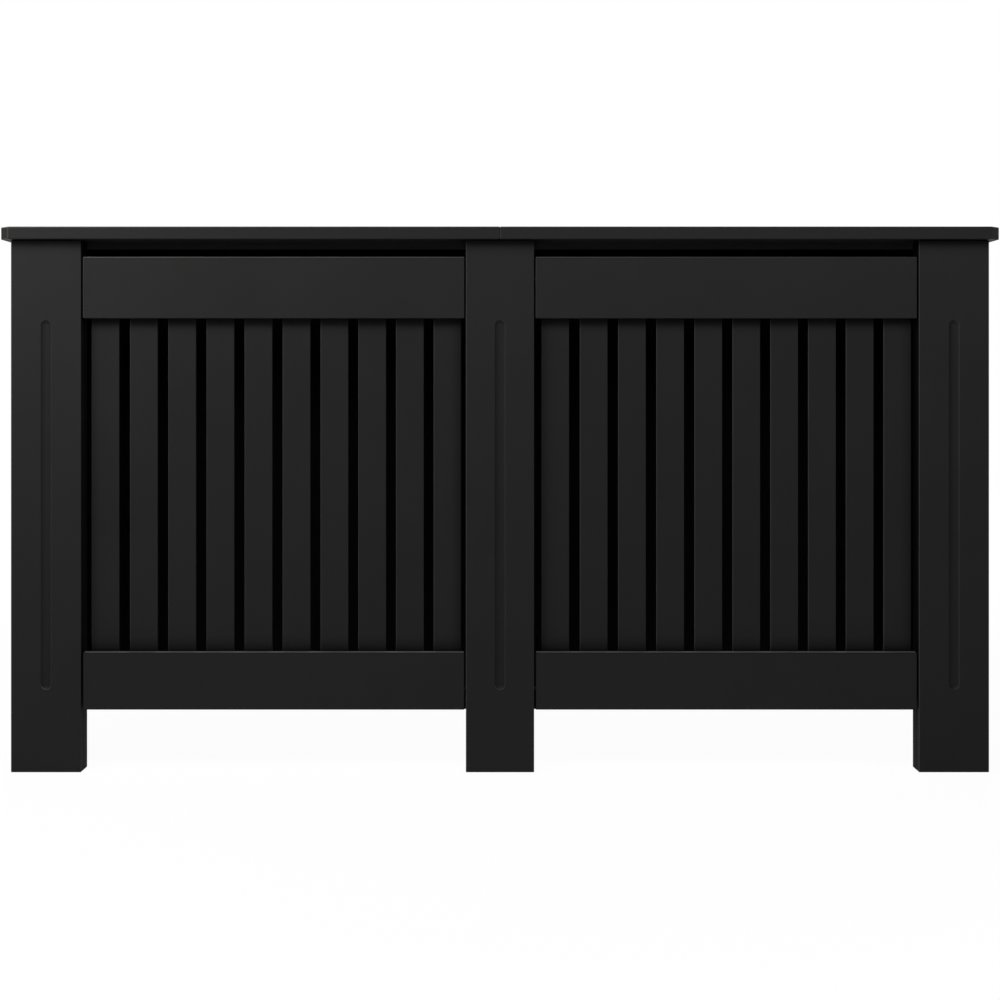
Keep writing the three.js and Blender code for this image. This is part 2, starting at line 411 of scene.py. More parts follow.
def mix_colour(tree, factor, first, second, blend="MIX"):
    """Mixes two colours: the first at factor 0, the second at factor 1."""
    node = tree.nodes.new("ShaderNodeMix")
    node.data_type = "RGBA"
    node.blend_type = blend
    plug(tree, factor, node.inputs[0])
    plug(tree, first, node.inputs[6])
    plug(tree, second, node.inputs[7])
    return node.outputs[2]


# %% [markdown]
# ### Sprayed paint
#
# Paint from a spray gun is never one flat colour. It is a touch thicker here and thinner
# there, and it dries with a fine orange peel. The group drifts the colour over a hand's
# width, varies the gloss, and gives a height for the peel.

# %% Group: sprayed paint
DRIFTS_PER_METRE = 7
GLOSS_PATCHES_PER_METRE = 26
GLOSS_CHANGE = 0.04


def make_sprayed_paint():
    """Colour drift, gloss drift and orange peel of a sprayed coat."""
    tree, inner, outer = new_group(
        "sprayed paint",
        [
            ("Vector", "Vector", None),
            ("Colour", "Color", (0.02, 0.02, 0.02, 1)),
            ("Drift", "Float", 0.06),
            ("Roughness", "Float", 0.5),
            ("Peel Cells per Metre", "Float", 450.0),
        ],
        [("Colour", "Color"), ("Roughness", "Float"), ("Peel", "Float")],
    )
    where = inner.outputs["Vector"]
    low = calculate(tree, "SUBTRACT", 1.0, inner.outputs["Drift"])
    high = calculate(tree, "ADD", 1.0, inner.outputs["Drift"])
    shade = drift(tree, where, DRIFTS_PER_METRE, low, high, detail=3.0)
    shaded = mix_colour(tree, 1.0, inner.outputs["Colour"], shade, "MULTIPLY")
    tree.links.new(shaded, outer.inputs["Colour"])
    change = drift(tree, where, GLOSS_PATCHES_PER_METRE, -GLOSS_CHANGE, GLOSS_CHANGE, detail=4.0)
    gloss = calculate(tree, "ADD", inner.outputs["Roughness"], change)
    tree.links.new(gloss, outer.inputs["Roughness"])
    peel = noise(tree, where, inner.outputs["Peel Cells per Metre"])
    tree.links.new(peel, outer.inputs["Peel"])
    return tree


sprayed_paint = make_sprayed_paint()

# %% [markdown]
# ### Cut edge of fibreboard
#
# A sawn or routed edge shows the open middle of the board. It drinks paint, so it dries
# rougher than the pressed faces, with a fine fibrous tooth. The finishes below paint most
# of these edges near black, as painted shade on the sides of the boards. The faces of a
# board all point one way, so whatever turns away from that way is an edge.

# %% Group: cut edge
EDGE_BELOW, FACE_ABOVE = 0.35, 0.85
FIBRES_PER_METRE = 1400


def make_cut_edge():
    """Mask of the surfaces that turn away from a board's faces, and their fibrous tooth."""
    tree, inner, outer = new_group(
        "cut edge",
        [("Vector", "Vector", None), ("Face Direction", "Vector", (0, 1, 0))],
        [("Mask", "Float"), ("Tooth", "Float")],
    )
    surface = tree.nodes.new("ShaderNodeNewGeometry")
    facing = tree.nodes.new("ShaderNodeVectorMath")
    facing.operation = "DOT_PRODUCT"
    tree.links.new(surface.outputs["True Normal"], facing.inputs[0])
    tree.links.new(inner.outputs["Face Direction"], facing.inputs[1])
    along_faces = calculate(tree, "ABSOLUTE", facing.outputs["Value"])
    mask = remap(tree, along_faces, EDGE_BELOW, FACE_ABOVE, 1, 0)
    tree.links.new(mask, outer.inputs["Mask"])
    tooth = noise(tree, inner.outputs["Vector"], FIBRES_PER_METRE, detail=3.0, roughness=0.65)
    tree.links.new(tooth, outer.inputs["Tooth"])
    return tree


cut_edge = make_cut_edge()

# %% [markdown]
# ### Settled dust and painted highlight
#
# Dust shows on black before anything else. Even a new piece has a trace of it where a
# surface looks up, in soft patches. Set much higher, the same mask paints a highlight on
# the upper edges of the lower rails, where light falls from above.

# %% Group: settled dust and painted highlight
LEVEL_FROM = 0.9
DUST_PATCHES_PER_METRE = 12
SPECKS_PER_METRE = 900
SPECK_FROM, SPECK_FULL = 0.5, 0.75


def make_dust_and_painted_highlight():
    """Mask of dust, and where it is set high of painted highlight, on surfaces that look up."""
    tree, inner, outer = new_group(
        "settled dust and painted highlight",
        [("Vector", "Vector", None), ("Amount", "Float", 0.05)],
        [("Mask", "Float")],
    )
    surface = tree.nodes.new("ShaderNodeNewGeometry")
    split = tree.nodes.new("ShaderNodeSeparateXYZ")
    tree.links.new(surface.outputs["True Normal"], split.inputs[0])
    where = inner.outputs["Vector"]
    looks_up = remap(tree, split.outputs["Z"], LEVEL_FROM, 1, 0, 1)
    patches = drift(tree, where, DUST_PATCHES_PER_METRE, 0.6, 1.0, detail=5.0)
    specks = remap(tree, noise(tree, where, SPECKS_PER_METRE), SPECK_FROM, SPECK_FULL, 0.7, 1.0)
    amount = calculate(tree, "MULTIPLY", looks_up, inner.outputs["Amount"])
    amount = calculate(tree, "MULTIPLY", amount, patches)
    tree.links.new(calculate(tree, "MULTIPLY", amount, specks), outer.inputs["Mask"])
    return tree


dust_and_painted_highlight = make_dust_and_painted_highlight()

# %% [markdown]
# ### Painted shade in inside corners
#
# Inside corners get painted shade: the paint's colour is made darker there. An ambient
# occlusion node looks a short way around and answers 1 on a free face and less beside a
# wall. Squared, it falls off the way the slats do beside the legs and above the lower rail.
# Places near the floor get none of this painted shade, so low places count as open.

# %% Group: painted shade in inside corners
NEAR_FLOOR, CLEAR_OF_FLOOR = 20 * MM, 40 * MM
CORNER_POWER = 2.0
LOOKS_AROUND = 8


def make_painted_corner_shade():
    """Painted shade factor: 1 on a free face and near the floor, and towards 0 in an inside corner.
    """
    tree, inner, outer = new_group("painted_corner_shade", [("Reach", "Float", 0.025)], [("Painted Shade Factor", "Float")])
    place = tree.nodes.new("ShaderNodeSeparateXYZ")
    tree.links.new(tree.nodes.new("ShaderNodeNewGeometry").outputs["Position"], place.inputs[0])
    low_down = remap(tree, place.outputs["Z"], NEAR_FLOOR, CLEAR_OF_FLOOR, 1, 0)
    look_around = tree.nodes.new("ShaderNodeAmbientOcclusion")
    look_around.samples = LOOKS_AROUND
    tree.links.new(inner.outputs["Reach"], look_around.inputs["Distance"])
    free = calculate(tree, "POWER", look_around.outputs["AO"], CORNER_POWER)
    tree.links.new(calculate(tree, "MAXIMUM", free, low_down), outer.inputs["Painted Shade Factor"])
    return tree


painted_corner_shade = make_painted_corner_shade()
print("node groups:", [group.name for group in bpy.data.node_groups])

# %% [markdown]
# ## Satin black paint
#
# One finish serves every board. What differs is the direction of the board's faces, its
# colour, the look of its cut edges and its dust, so the finish is made by a function that is
# told them. The slats are painted a shade darker than the frame around them, as painted
# shade in their recess. The edges of legs, rails and slats are painted near black and dull,
# as painted shade on the sides of the boards. On the upper edges of the lower rails the dust
# mask is set high, as a painted highlight where light falls from above. The top's front edge
# gets no painted shade and keeps the colour of its face. Every paint finish is also darkened
# by the painted shade in inside corners.

# %% Function: black paint for boards
PAINT_COLOUR = (0.0150, 0.0150, 0.0149, 1)
# Painted shade: the recessed slats are painted a shade darker than the frame.
SLAT_SHADED_COLOUR = (0.0136, 0.0136, 0.0135, 1)
# Painted shade: the cut edges and sides of most boards are painted near black.
SHADED_EDGE_COLOUR = (0.0045, 0.0045, 0.0045, 1)
# Colour of the dust, and of the painted highlight on the lower rails' upper edges.
DUST_AND_HIGHLIGHT_COLOUR = (0.30, 0.29, 0.27, 1)
PAINT_ROUGHNESS = 0.60
EDGE_ROUGHNESS = 0.66
DUST_AND_HIGHLIGHT_ROUGHNESS = 0.95
PAINT_SHINE = 0.09
DULL_SHINE = 0.03
CORNER_REACH = 25 * MM
PEEL_HEIGHT = 0.02 * MM
TOOTH_HEIGHT = 0.03 * MM


def place_group(tree, group, where=None, **values):
    """Puts a node group into a material and feeds it the place and its own values."""
    node = tree.nodes.new("ShaderNodeGroup")
    node.node_tree = group
    if where is not None:
        tree.links.new(where, node.inputs["Vector"])
    for label, value in values.items():
        node.inputs[label.replace("_", " ")].default_value = value
    return node


def black_paint(
    name,
    face_direction,
    colour=PAINT_COLOUR,
    edge_colour=SHADED_EDGE_COLOUR,
    dust_and_highlight_amount=0.04,
    shine=PAINT_SHINE,
):
    """Satin black paint on a board whose faces look along face_direction."""
    material = bpy.data.materials.new(name)
    material.use_nodes = True
    tree = material.node_tree
    shader = tree.nodes["Principled BSDF"]
    where = tree.nodes.new("ShaderNodeTexCoord").outputs["Object"]
    coat = place_group(tree, sprayed_paint, where, Colour=colour, Roughness=PAINT_ROUGHNESS)
    edge = place_group(tree, cut_edge, where, Face_Direction=face_direction)
    dust_and_highlight = place_group(tree, dust_and_painted_highlight, where, Amount=dust_and_highlight_amount)
    corner = place_group(tree, painted_corner_shade, Reach=CORNER_REACH)
    # Cut edges take edge_colour, which is painted shade on every board but the top.
    tone = mix_colour(tree, edge.outputs["Mask"], coat.outputs["Colour"], edge_colour)
    # Painted shade in inside corners darkens the colour.
    tone = mix_colour(tree, 1.0, tone, corner.outputs["Painted Shade Factor"], "MULTIPLY")
    tone = mix_colour(tree, dust_and_highlight.outputs["Mask"], tone, DUST_AND_HIGHLIGHT_COLOUR)
    tree.links.new(tone, shader.inputs["Base Color"])
    gloss = mix_number(tree, edge.outputs["Mask"], coat.outputs["Roughness"], EDGE_ROUGHNESS)
    gloss = mix_number(tree, dust_and_highlight.outputs["Mask"], gloss, DUST_AND_HIGHLIGHT_ROUGHNESS)
    tree.links.new(gloss, shader.inputs["Roughness"])
    peel = calculate(tree, "MULTIPLY", coat.outputs["Peel"], PEEL_HEIGHT)
    tooth = calculate(tree, "MULTIPLY", edge.outputs["Tooth"], TOOTH_HEIGHT)
    height = mix_number(tree, edge.outputs["Mask"], peel, tooth)
    bump = tree.nodes.new("ShaderNodeBump")
    bump.inputs["Distance"].default_value = 1.0
    tree.links.new(height, bump.inputs["Height"])
    tree.links.new(bump.outputs["Normal"], shader.inputs["Normal"])
    shader.inputs["Specular IOR Level"].default_value = shine
    return material


FRONT_TO_BACK, SIDE_TO_SIDE, UPWARDS = (0, 1, 0), (1, 0, 0), (0, 0, 1)

paint_on_front = black_paint("black paint on upright boards", FRONT_TO_BACK)
# The lower rails' high amount is a painted highlight on their upper edges, over a trace of dust.
paint_on_lower_rails = black_paint("black paint on the lower rails", FRONT_TO_BACK, dust_and_highlight_amount=0.45)
paint_on_slats = black_paint("black paint on slats", FRONT_TO_BACK, colour=SLAT_SHADED_COLOUR)
# Dull paint whose edges carry painted shade: battens, joint strip, lower rails' arrises, leg sides.
dull_paint_shaded_edges = black_paint("dull black paint with painted shade on its edges", FRONT_TO_BACK, shine=DULL_SHINE)
paint_on_top = black_paint(
    "black paint on the shelf top", UPWARDS, edge_colour=PAINT_COLOUR, dust_and_highlight_amount=0.05
)
paint_on_sides = black_paint("black paint on the side panels", SIDE_TO_SIDE)
print("finishes:", [material.name for material in bpy.data.materials])

# %% [markdown]
# ### Painted highlight on arrises
#
# The arrises carry a painted highlight: a greyer coat with more shine, here more and there
# less along its run. Only the faces that the rounding makes, and the rims of the routed
# grooves, wear this finish. Arrises that look up get the most, and more at the left end,
# towards the lamps. Upright ones that look left, towards the light, get a little, and those
# below, behind or in a corner none.

# %% Finish: painted highlight on arrises
# Painted highlight: the arrises are painted lighter and shinier.
ARRIS_HIGHLIGHT_COLOUR = (0.075, 0.075, 0.073, 1)
ARRIS_HIGHLIGHT_ROUGHNESS = 0.45
ARRIS_HIGHLIGHT_SHINE = 0.12
HIGHLIGHT_DRIFT_LOW = 0.75
HIGHLIGHT_DRIFTS_PER_METRE = 14
UPRIGHT_SHARE = 0.5
RIGHT_END_HIGHLIGHT_SHARE = 0.04
LOOKS_UP_FROM, LOOKS_UP_FULL = 0.1, 0.3
LOOKS_LEFT_FULL, LOOKS_LEFT_FROM = -0.4, -0.1
IN_FRONT_FULL, IN_FRONT_FROM = -0.3, -0.1
OPEN_FROM, OPEN_FULL = 0.1, 0.5


def painted_highlight_places(tree, where):
    """Mask of the painted highlight: high where an arris looks up, more so at the left end, and
    lower where it looks left.
    """
    surface = tree.nodes.new("ShaderNodeNewGeometry")
    facing = tree.nodes.new("ShaderNodeSeparateXYZ")
    tree.links.new(surface.outputs["True Normal"], facing.inputs[0])
    place = tree.nodes.new("ShaderNodeSeparateXYZ")
    tree.links.new(where, place.inputs[0])
    looks_up = remap(tree, facing.outputs["Z"], LOOKS_UP_FROM, LOOKS_UP_FULL, 0, 1)
    # The painted highlight fades from the left end, towards the lamps, to the right end.
    towards_left_lamps = remap(tree, place.outputs["X"], cad_low.x, cad_high.x, 1, RIGHT_END_HIGHLIGHT_SHARE)
    looks_left = remap(tree, facing.outputs["X"], LOOKS_LEFT_FULL, LOOKS_LEFT_FROM, 1, 0)
    in_front = remap(tree, facing.outputs["Y"], IN_FRONT_FULL, IN_FRONT_FROM, UPRIGHT_SHARE, 0)
    upright = calculate(tree, "MULTIPLY", looks_left, in_front)
    return calculate(tree, "MAXIMUM", calculate(tree, "MULTIPLY", looks_up, towards_left_lamps), upright)


def arris_highlight_paint():
    """Black paint with a painted highlight."""
    material = bpy.data.materials.new("black paint with painted highlight on arrises")
    material.use_nodes = True
    tree = material.node_tree
    shader = tree.nodes["Principled BSDF"]
    where = tree.nodes.new("ShaderNodeTexCoord").outputs["Object"]
    coat = place_group(tree, sprayed_paint, where, Colour=PAINT_COLOUR, Roughness=PAINT_ROUGHNESS)
    corner = place_group(tree, painted_corner_shade, Reach=CORNER_REACH)
    reached = remap(tree, corner.outputs["Painted Shade Factor"], OPEN_FROM, OPEN_FULL, 0, 1)
    painted_highlight = drift(tree, where, HIGHLIGHT_DRIFTS_PER_METRE, HIGHLIGHT_DRIFT_LOW, 1.0, detail=6.0)
    painted_highlight = calculate(tree, "MULTIPLY", painted_highlight, painted_highlight_places(tree, where))
    painted_highlight = calculate(tree, "MULTIPLY", painted_highlight, reached)
    # Painted shade in inside corners darkens the colour.
    colour = mix_colour(tree, 1.0, coat.outputs["Colour"], corner.outputs["Painted Shade Factor"], "MULTIPLY")
    # The painted highlight lightens the colour.
    colour = mix_colour(tree, painted_highlight, colour, ARRIS_HIGHLIGHT_COLOUR)
    tree.links.new(colour, shader.inputs["Base Color"])
    gloss = mix_number(tree, painted_highlight, coat.outputs["Roughness"], ARRIS_HIGHLIGHT_ROUGHNESS)
    tree.links.new(gloss, shader.inputs["Roughness"])
    shader.inputs["Specular IOR Level"].default_value = ARRIS_HIGHLIGHT_SHINE
    return material


painted_highlight_on_arrises = arris_highlight_paint()
print("arrises:", painted_highlight_on_arrises.name)

# %% [markdown]
# ## Zinc plate
#
# Brackets and screws are mild steel with bright zinc. It is greyer and softer than
# chrome: the strip's rolling leaves faint lines, and the plating clouds a little.

# %% Group: zinc clouds
CLOUDS_PER_METRE = 110
SHEEN_PATCHES_PER_METRE = 240
ROLLING_LINES_PER_METRE = 2600
ROLLED_LENGTHWAYS = (1, 1, 0.04)


def make_zinc_clouds():
    """Cloudy tone and gloss of bright zinc, with the faint lines of rolled strip."""
    tree, inner, outer = new_group(
        "zinc clouds",
        [
            ("Vector", "Vector", None),
            ("Tone", "Color", (0.6, 0.61, 0.62, 1)),
            ("Roughness", "Float", 0.32),
        ],
        [("Colour", "Color"), ("Roughness", "Float"), ("Lines", "Float")],
    )
    where = inner.outputs["Vector"]
    clouds = drift(tree, where, CLOUDS_PER_METRE, 0.82, 1.08, detail=4.0)
    tone = mix_colour(tree, 1.0, inner.outputs["Tone"], clouds, "MULTIPLY")
    tree.links.new(tone, outer.inputs["Colour"])
    change = drift(tree, where, SHEEN_PATCHES_PER_METRE, -0.07, 0.09, detail=3.0)
    gloss = calculate(tree, "ADD", inner.outputs["Roughness"], change)
    tree.links.new(gloss, outer.inputs["Roughness"])
    stretch = tree.nodes.new("ShaderNodeVectorMath")
    stretch.operation = "MULTIPLY"
    stretch.inputs[1].default_value = ROLLED_LENGTHWAYS
    tree.links.new(where, stretch.inputs[0])
    lines = noise(tree, stretch.outputs[0], ROLLING_LINES_PER_METRE)
    tree.links.new(lines, outer.inputs["Lines"])
    return tree


zinc_clouds = make_zinc_clouds()
print("inputs:", [item.name for item in zinc_clouds.interface.items_tree if item.in_out == "INPUT"])

# %% [markdown]
# A screw is struck from wire and tumbled, so its zinc is brighter and smoother than that of
# the rolled strip. Both get the same clouds with their own tone, gloss and depth of lines.

# %% Finishes: zinc on brackets and screws
STRIP_LINE_HEIGHT = 0.01 * MM
WIRE_LINE_HEIGHT = 0.004 * MM


def zinc_plate(name, tone, roughness, line_height):
    """Bright zinc on steel."""
    material = bpy.data.materials.new(name)
    material.use_nodes = True
    tree = material.node_tree
    shader = tree.nodes["Principled BSDF"]
    where = tree.nodes.new("ShaderNodeTexCoord").outputs["Object"]
    clouds = place_group(tree, zinc_clouds, where, Tone=tone, Roughness=roughness)
    tree.links.new(clouds.outputs["Colour"], shader.inputs["Base Color"])
    tree.links.new(clouds.outputs["Roughness"], shader.inputs["Roughness"])
    shader.inputs["Metallic"].default_value = 1.0
    bump = tree.nodes.new("ShaderNodeBump")
    bump.inputs["Distance"].default_value = 1.0
    height = calculate(tree, "MULTIPLY", clouds.outputs["Lines"], line_height)
    tree.links.new(height, bump.inputs["Height"])
    tree.links.new(bump.outputs["Normal"], shader.inputs["Normal"])
    return material


bracket_zinc = zinc_plate(
    "bright zinc on brackets", (0.56, 0.57, 0.58, 1), roughness=0.34, line_height=STRIP_LINE_HEIGHT
)
screw_zinc = zinc_plate(
    "bright zinc on screws", (0.60, 0.60, 0.58, 1), roughness=0.28, line_height=WIRE_LINE_HEIGHT
)
print("metal finishes:", bracket_zinc.name, "and", screw_zinc.name)

# %% [markdown]
# ## Softened arrises
#
# No painted board has a knife edge. Each arris is sanded round, and on black paint that
# small round catches the light as a bright line. The solid keeps its mesh. Modifiers weld
# its loose triangles and join those of one flat face, because a round runs askew where
# a triangle's diagonal meets it. Then they round the sharp edges, shade the rounds smoothly,
# and weight the normals so that the large faces stay flat.

# %% Smooth-by-angle modifier group
SMOOTH_BELOW = math.radians(50)


def make_smooth_by_angle():
    """Geometry nodes that shade a mesh smoothly, except across edges sharper than 50 degrees."""
    tree = bpy.data.node_groups.new("smooth by angle", "GeometryNodeTree")
    tree.interface.new_socket("Geometry", in_out="INPUT", socket_type="NodeSocketGeometry")
    tree.interface.new_socket("Geometry", in_out="OUTPUT", socket_type="NodeSocketGeometry")
    inner = tree.nodes.new("NodeGroupInput")
    outer = tree.nodes.new("NodeGroupOutput")
    faces = tree.nodes.new("GeometryNodeSetShadeSmooth")
    faces.domain = "FACE"
    edges = tree.nodes.new("GeometryNodeSetShadeSmooth")
    edges.domain = "EDGE"
    angle = tree.nodes.new("GeometryNodeInputMeshEdgeAngle")
    gentle = tree.nodes.new("FunctionNodeCompare")
    gentle.operation = "LESS_THAN"
    gentle.inputs["B"].default_value = SMOOTH_BELOW
    tree.links.new(inner.outputs[0], faces.inputs["Geometry"])
    tree.links.new(faces.outputs[0], edges.inputs["Geometry"])
    tree.links.new(angle.outputs["Unsigned Angle"], gentle.inputs["A"])
    tree.links.new(gentle.outputs[0], edges.inputs["Shade Smooth"])
    tree.links.new(edges.outputs[0], outer.inputs[0])
    return tree


smooth_by_angle = make_smooth_by_angle()
print("shaded smoothly below", round(math.degrees(SMOOTH_BELOW)), "degrees")

# %% [markdown]
# The modifiers go on in this order on every board and bracket. The radius is the piece's
# own: 1.5 mm on the top and the rails, less on slats, side panels and hidden boards, and
# a quarter of a millimetre on steel.

# %% Functions: round the arrises of a piece
WELD_WITHIN = 0.01 * MM
FLAT_WITHIN = math.radians(1)
ROUND_ABOVE = math.radians(40)


def shade_by_angle(piece):
    """Smooth shading that stops at sharp edges."""
    smooth = piece.modifiers.new("smooth by angle", "NODES")
    smooth.node_group = smooth_by_angle


def keep_faces_flat(piece):
    """Normals that follow the large faces, so that the rounds take up all the turning."""
    flat = piece.modifiers.new("keep faces flat", "WEIGHTED_NORMAL")
    flat.keep_sharp = True
    flat.weight = 100


def soften(piece, radius, segments=3):
    """Rounds every sharp edge of a piece to radius and shades the rounds smoothly.

    A piece with a second material wears it on the rounds.
    """
    weld = piece.modifiers.new("weld triangles", "WELD")
    weld.merge_threshold = WELD_WITHIN
    whole_faces = piece.modifiers.new("join flat triangles", "DECIMATE")
    whole_faces.decimate_type = "DISSOLVE"
    whole_faces.angle_limit = FLAT_WITHIN
    rounded = piece.modifiers.new("round arrises", "BEVEL")
    rounded.width = radius
    rounded.segments = segments
    rounded.limit_method = "ANGLE"
    rounded.angle_limit = ROUND_ABOVE
    if len(piece.data.materials) > 1:
        rounded.material = 1
    shade_by_angle(piece)
    keep_faces_flat(piece)


# %% [markdown]
# ### Finish of each kind of board
#
# Pieces of one kind are cut, rounded and sprayed alike, so one table gives each kind its
# radius, its paint and, where its arrises are seen, the paint on them: the painted highlight
# on most, dull paint with painted shade on the lower rails. The first word or two of a
# piece's name tell its kind. The legs come later, because they are drawn again.

# %% Arris and finish of each kind of board
BOARD_FINISHES = {
    "top_panel": (1.5 * MM, paint_on_top, painted_highlight_on_arrises),
    "seam_cleat": (0.8 * MM, paint_on_top),
    "side_panel": (1.2 * MM, paint_on_sides, painted_highlight_on_arrises),
    "batten": (0.8 * MM, dull_paint_shaded_edges),
    "top_rail": (1.5 * MM, paint_on_front, painted_highlight_on_arrises),
    "bottom_rail": (1.5 * MM, paint_on_lower_rails, dull_paint_shaded_edges),
    "slat": (1.0 * MM, paint_on_slats, painted_highlight_on_arrises),
}
BRACKET_ARRIS = 0.25 * MM


def give_finish(piece, *materials):
    """Gives a piece its material, and a second one for its rounded arrises."""
    if piece.data.materials:
        piece.data.materials.clear()
    for material in materials:
        piece.data.materials.append(material)


for name, solid in solids.items():
    for kind, (radius, *materials) in BOARD_FINISHES.items():
        if name.startswith(kind):
            give_finish(solid, *materials)
            soften(solid, radius)
    if "bracket" in name:
        give_finish(solid, bracket_zinc)
        soften(solid, BRACKET_ARRIS, segments=2)
print("boards and brackets finished:", sum(len(solid.modifiers) > 0 for solid in solids.values()))

# %% [markdown]
# ## Legs with a routed groove
#
# A router with a ball-nosed cutter runs down the middle of each leg, sunk only a little, so
# the groove is a shallow arc across with a crisp rim. The arc turns its left half away from
# the light and its right half towards it, which shades one side dark and the other bright.
# A Boolean could cut it, but leaves long thin faces that shade badly. So the groove is drawn
# as rings: the same long round-ended outline, drawn in and sunk along the arc of the ball.

# %% Outline and section of the groove
ARC_STEPS = 9
END_STEPS = 24


def round_ended(half_width, low_z, high_z):
    """Points (x, z) of an upright slot outline with round ends, anticlockwise."""
    points = []
    for centre_z, from_turn in ((high_z - half_width, 0), (low_z + half_width, math.pi)):
        for step in range(END_STEPS + 1):
            turn = from_turn + math.pi * step / END_STEPS
            points.append((half_width * math.cos(turn), centre_z + half_width * math.sin(turn)))
    return points


def groove_profile():
    """Pairs (drawn in, sunk) along the ball's arc, from the rim to just short of the middle."""
    half_width = GROOVE_WIDTH / 2
    ball_radius = (half_width**2 + GROOVE_DEPTH**2) / (2 * GROOVE_DEPTH)
    rim_turn = math.asin(half_width / ball_radius)
    steps = []
    for step in range(ARC_STEPS):
        turn = rim_turn * (1 - step / ARC_STEPS)
        reach = ball_radius * math.sin(turn)
        sunk = GROOVE_DEPTH - ball_radius * (1 - math.cos(turn))
        steps.append((half_width - reach, sunk))
    return steps


print("groove section in mm:", [(round(x / MM, 2), round(y / MM, 2)) for x, y in groove_profile()])

# %% [markdown]
# ### From a mesh in the making to a piece
#
# A bmesh is a mesh that is still being worked on, with vertices, edges and faces that can be
# added one by one. The legs, the strip of painted shade and the screws all end the same way:
# the bmesh becomes a mesh, and the mesh becomes an object in the scene.

# %% Functions: finish a bmesh
def mesh_from(bm, name):
    """Turns a bmesh into a mesh and lets it go."""
    mesh = bpy.data.meshes.new(name)
    bm.to_mesh(mesh)
    bm.free()
    return mesh


def piece_from(bm, name):
    """Turns a bmesh into an object in the scene."""
    piece = bpy.data.objects.new(name, mesh_from(bm, name))
    bpy.context.scene.collection.objects.link(piece)
    return piece


def edges_around(bm, vertices):
    """The edges of a closed outline."""
    return [bm.edges.get(pair) for pair in zip(vertices, vertices[1:] + vertices[:1])]


# %% [markdown]
# ### The leg board
#
# The board starts as a box that is open in front, and the front is then filled between its
# outline and the rim of the groove. Each face gets the number of its finish: satin on the
# front, the painted highlight on the arrises and on the outermost ring of the groove, dull
# paint with painted shade on the cut sides.

# %% Leg board
HIGHLIGHTED_RINGS = 1
LEG_ARRIS = 1.2 * MM
# Finish numbers: satin, painted highlight, and dull paint with painted shade on the sides.
SATIN, HIGHLIGHTED, SHADED_SIDES = 0, 1, 2


def open_box(bm, low, high):
    """The back and the sides of a board. Returns the corners of its open front."""
    corners = [(low.x, low.z), (high.x, low.z), (high.x, high.z), (low.x, high.z)]
    front = [bm.verts.new((x, low.y, z)) for x, z in corners]
    rear = [bm.verts.new((x, high.y, z)) for x, z in corners]
    bm.faces.new(reversed(rear))
    for i in range(4):
        j = (i + 1) % 4
        side = bm.faces.new((front[j], front[i], rear[i], rear[j]))
        # The cut sides take dull paint with painted shade.
        side.material_index = SHADED_SIDES
    return front


def sunk_groove(bm, centre_x, face_y):
    """The faces of the groove, ring by ring. Returns the corners of its rim."""
    rings = []
    for drawn_in, sunk in groove_profile():
        half_width = GROOVE_WIDTH / 2 - drawn_in
        outline = round_ended(half_width, GROOVE_BOTTOM_Z + drawn_in, GROOVE_TOP_Z - drawn_in)
        rings.append([bm.verts.new((centre_x + x, face_y + sunk, z)) for x, z in outline])
    count = len(rings[0])
    for ring, (outer, inner) in enumerate(zip(rings, rings[1:])):
        for i in range(count):
            j = (i + 1) % count
            wall = bm.faces.new((outer[i], outer[j], inner[j], inner[i]))
            # The outermost ring of the groove takes the painted highlight.
            wall.material_index = HIGHLIGHTED if ring < HIGHLIGHTED_RINGS else SATIN
    bm.faces.new(rings[-1])
    return rings[0]


def grooved_leg(node):
    """A leg board with rounded arrises and a routed groove, in place of its solid."""
    low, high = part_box(node)
    bm = bmesh.new()
    front = open_box(bm, low, high)
    board_edges = list(bm.edges)
    rim = edges_around(bm, sunk_groove(bm, (low.x + high.x) / 2, low.y))
    bmesh.ops.triangle_fill(bm, edges=edges_around(bm, front) + rim, use_beauty=True)
    for edge in rim:
        edge.smooth = False
    rounded = bmesh.ops.bevel(
        bm, geom=board_edges, offset=LEG_ARRIS, segments=3, profile=0.5, affect="EDGES"
    )
    # The rounded arrises take the painted highlight.
    for face in rounded["faces"]:
        face.material_index = HIGHLIGHTED
    bmesh.ops.recalc_face_normals(bm, faces=bm.faces)
    for face in bm.faces:
        face.smooth = True
    piece = piece_from(bm, f"{node}_board")
    give_finish(piece, paint_on_front, painted_highlight_on_arrises, dull_paint_shaded_edges)
    keep_faces_flat(piece)
    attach(piece, "root")
    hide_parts(node)
    return piece


legs = [grooved_leg(f"leg_{place}") for place in ("left", "middle", "right")]
print("leg faces:", [len(leg.data.polygons) for leg in legs])

# %% [markdown]
# ## Strip in the joint of the top
#
# The two halves of the top are drawn up against each other, and their paint meets in the
# joint. A dark strip of painted shade stands in it, set back from the faces, so that no
# light shines through.

# %% Dark strip of painted shade between the two halves
JOINT_SETBACK = 1 * MM


def closed_box(name, low, high):
    """A plain closed box between two corners."""
    bm = bmesh.new()
    bmesh.ops.create_cube(bm, size=1.0)
    bmesh.ops.scale(bm, vec=high - low, verts=bm.verts)
    bmesh.ops.translate(bm, vec=(low + high) / 2, verts=bm.verts)
    return piece_from(bm, name)


joint_half_width = -top_high.x
setback = Vector((0, JOINT_SETBACK, JOINT_SETBACK))
joint_low = Vector((-joint_half_width, top_low.y, top_low.z)) + setback
joint_high = Vector((joint_half_width, top_high.y, top_high.z)) - setback
# A dark strip of painted shade in the joint.
joint_shade_strip = closed_box("joint_shade_strip", joint_low, joint_high)
give_finish(joint_shade_strip, dull_paint_shaded_edges)
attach(joint_shade_strip, "root")
print("shade strip width in mm:", round(2 * joint_half_width / MM, 2))

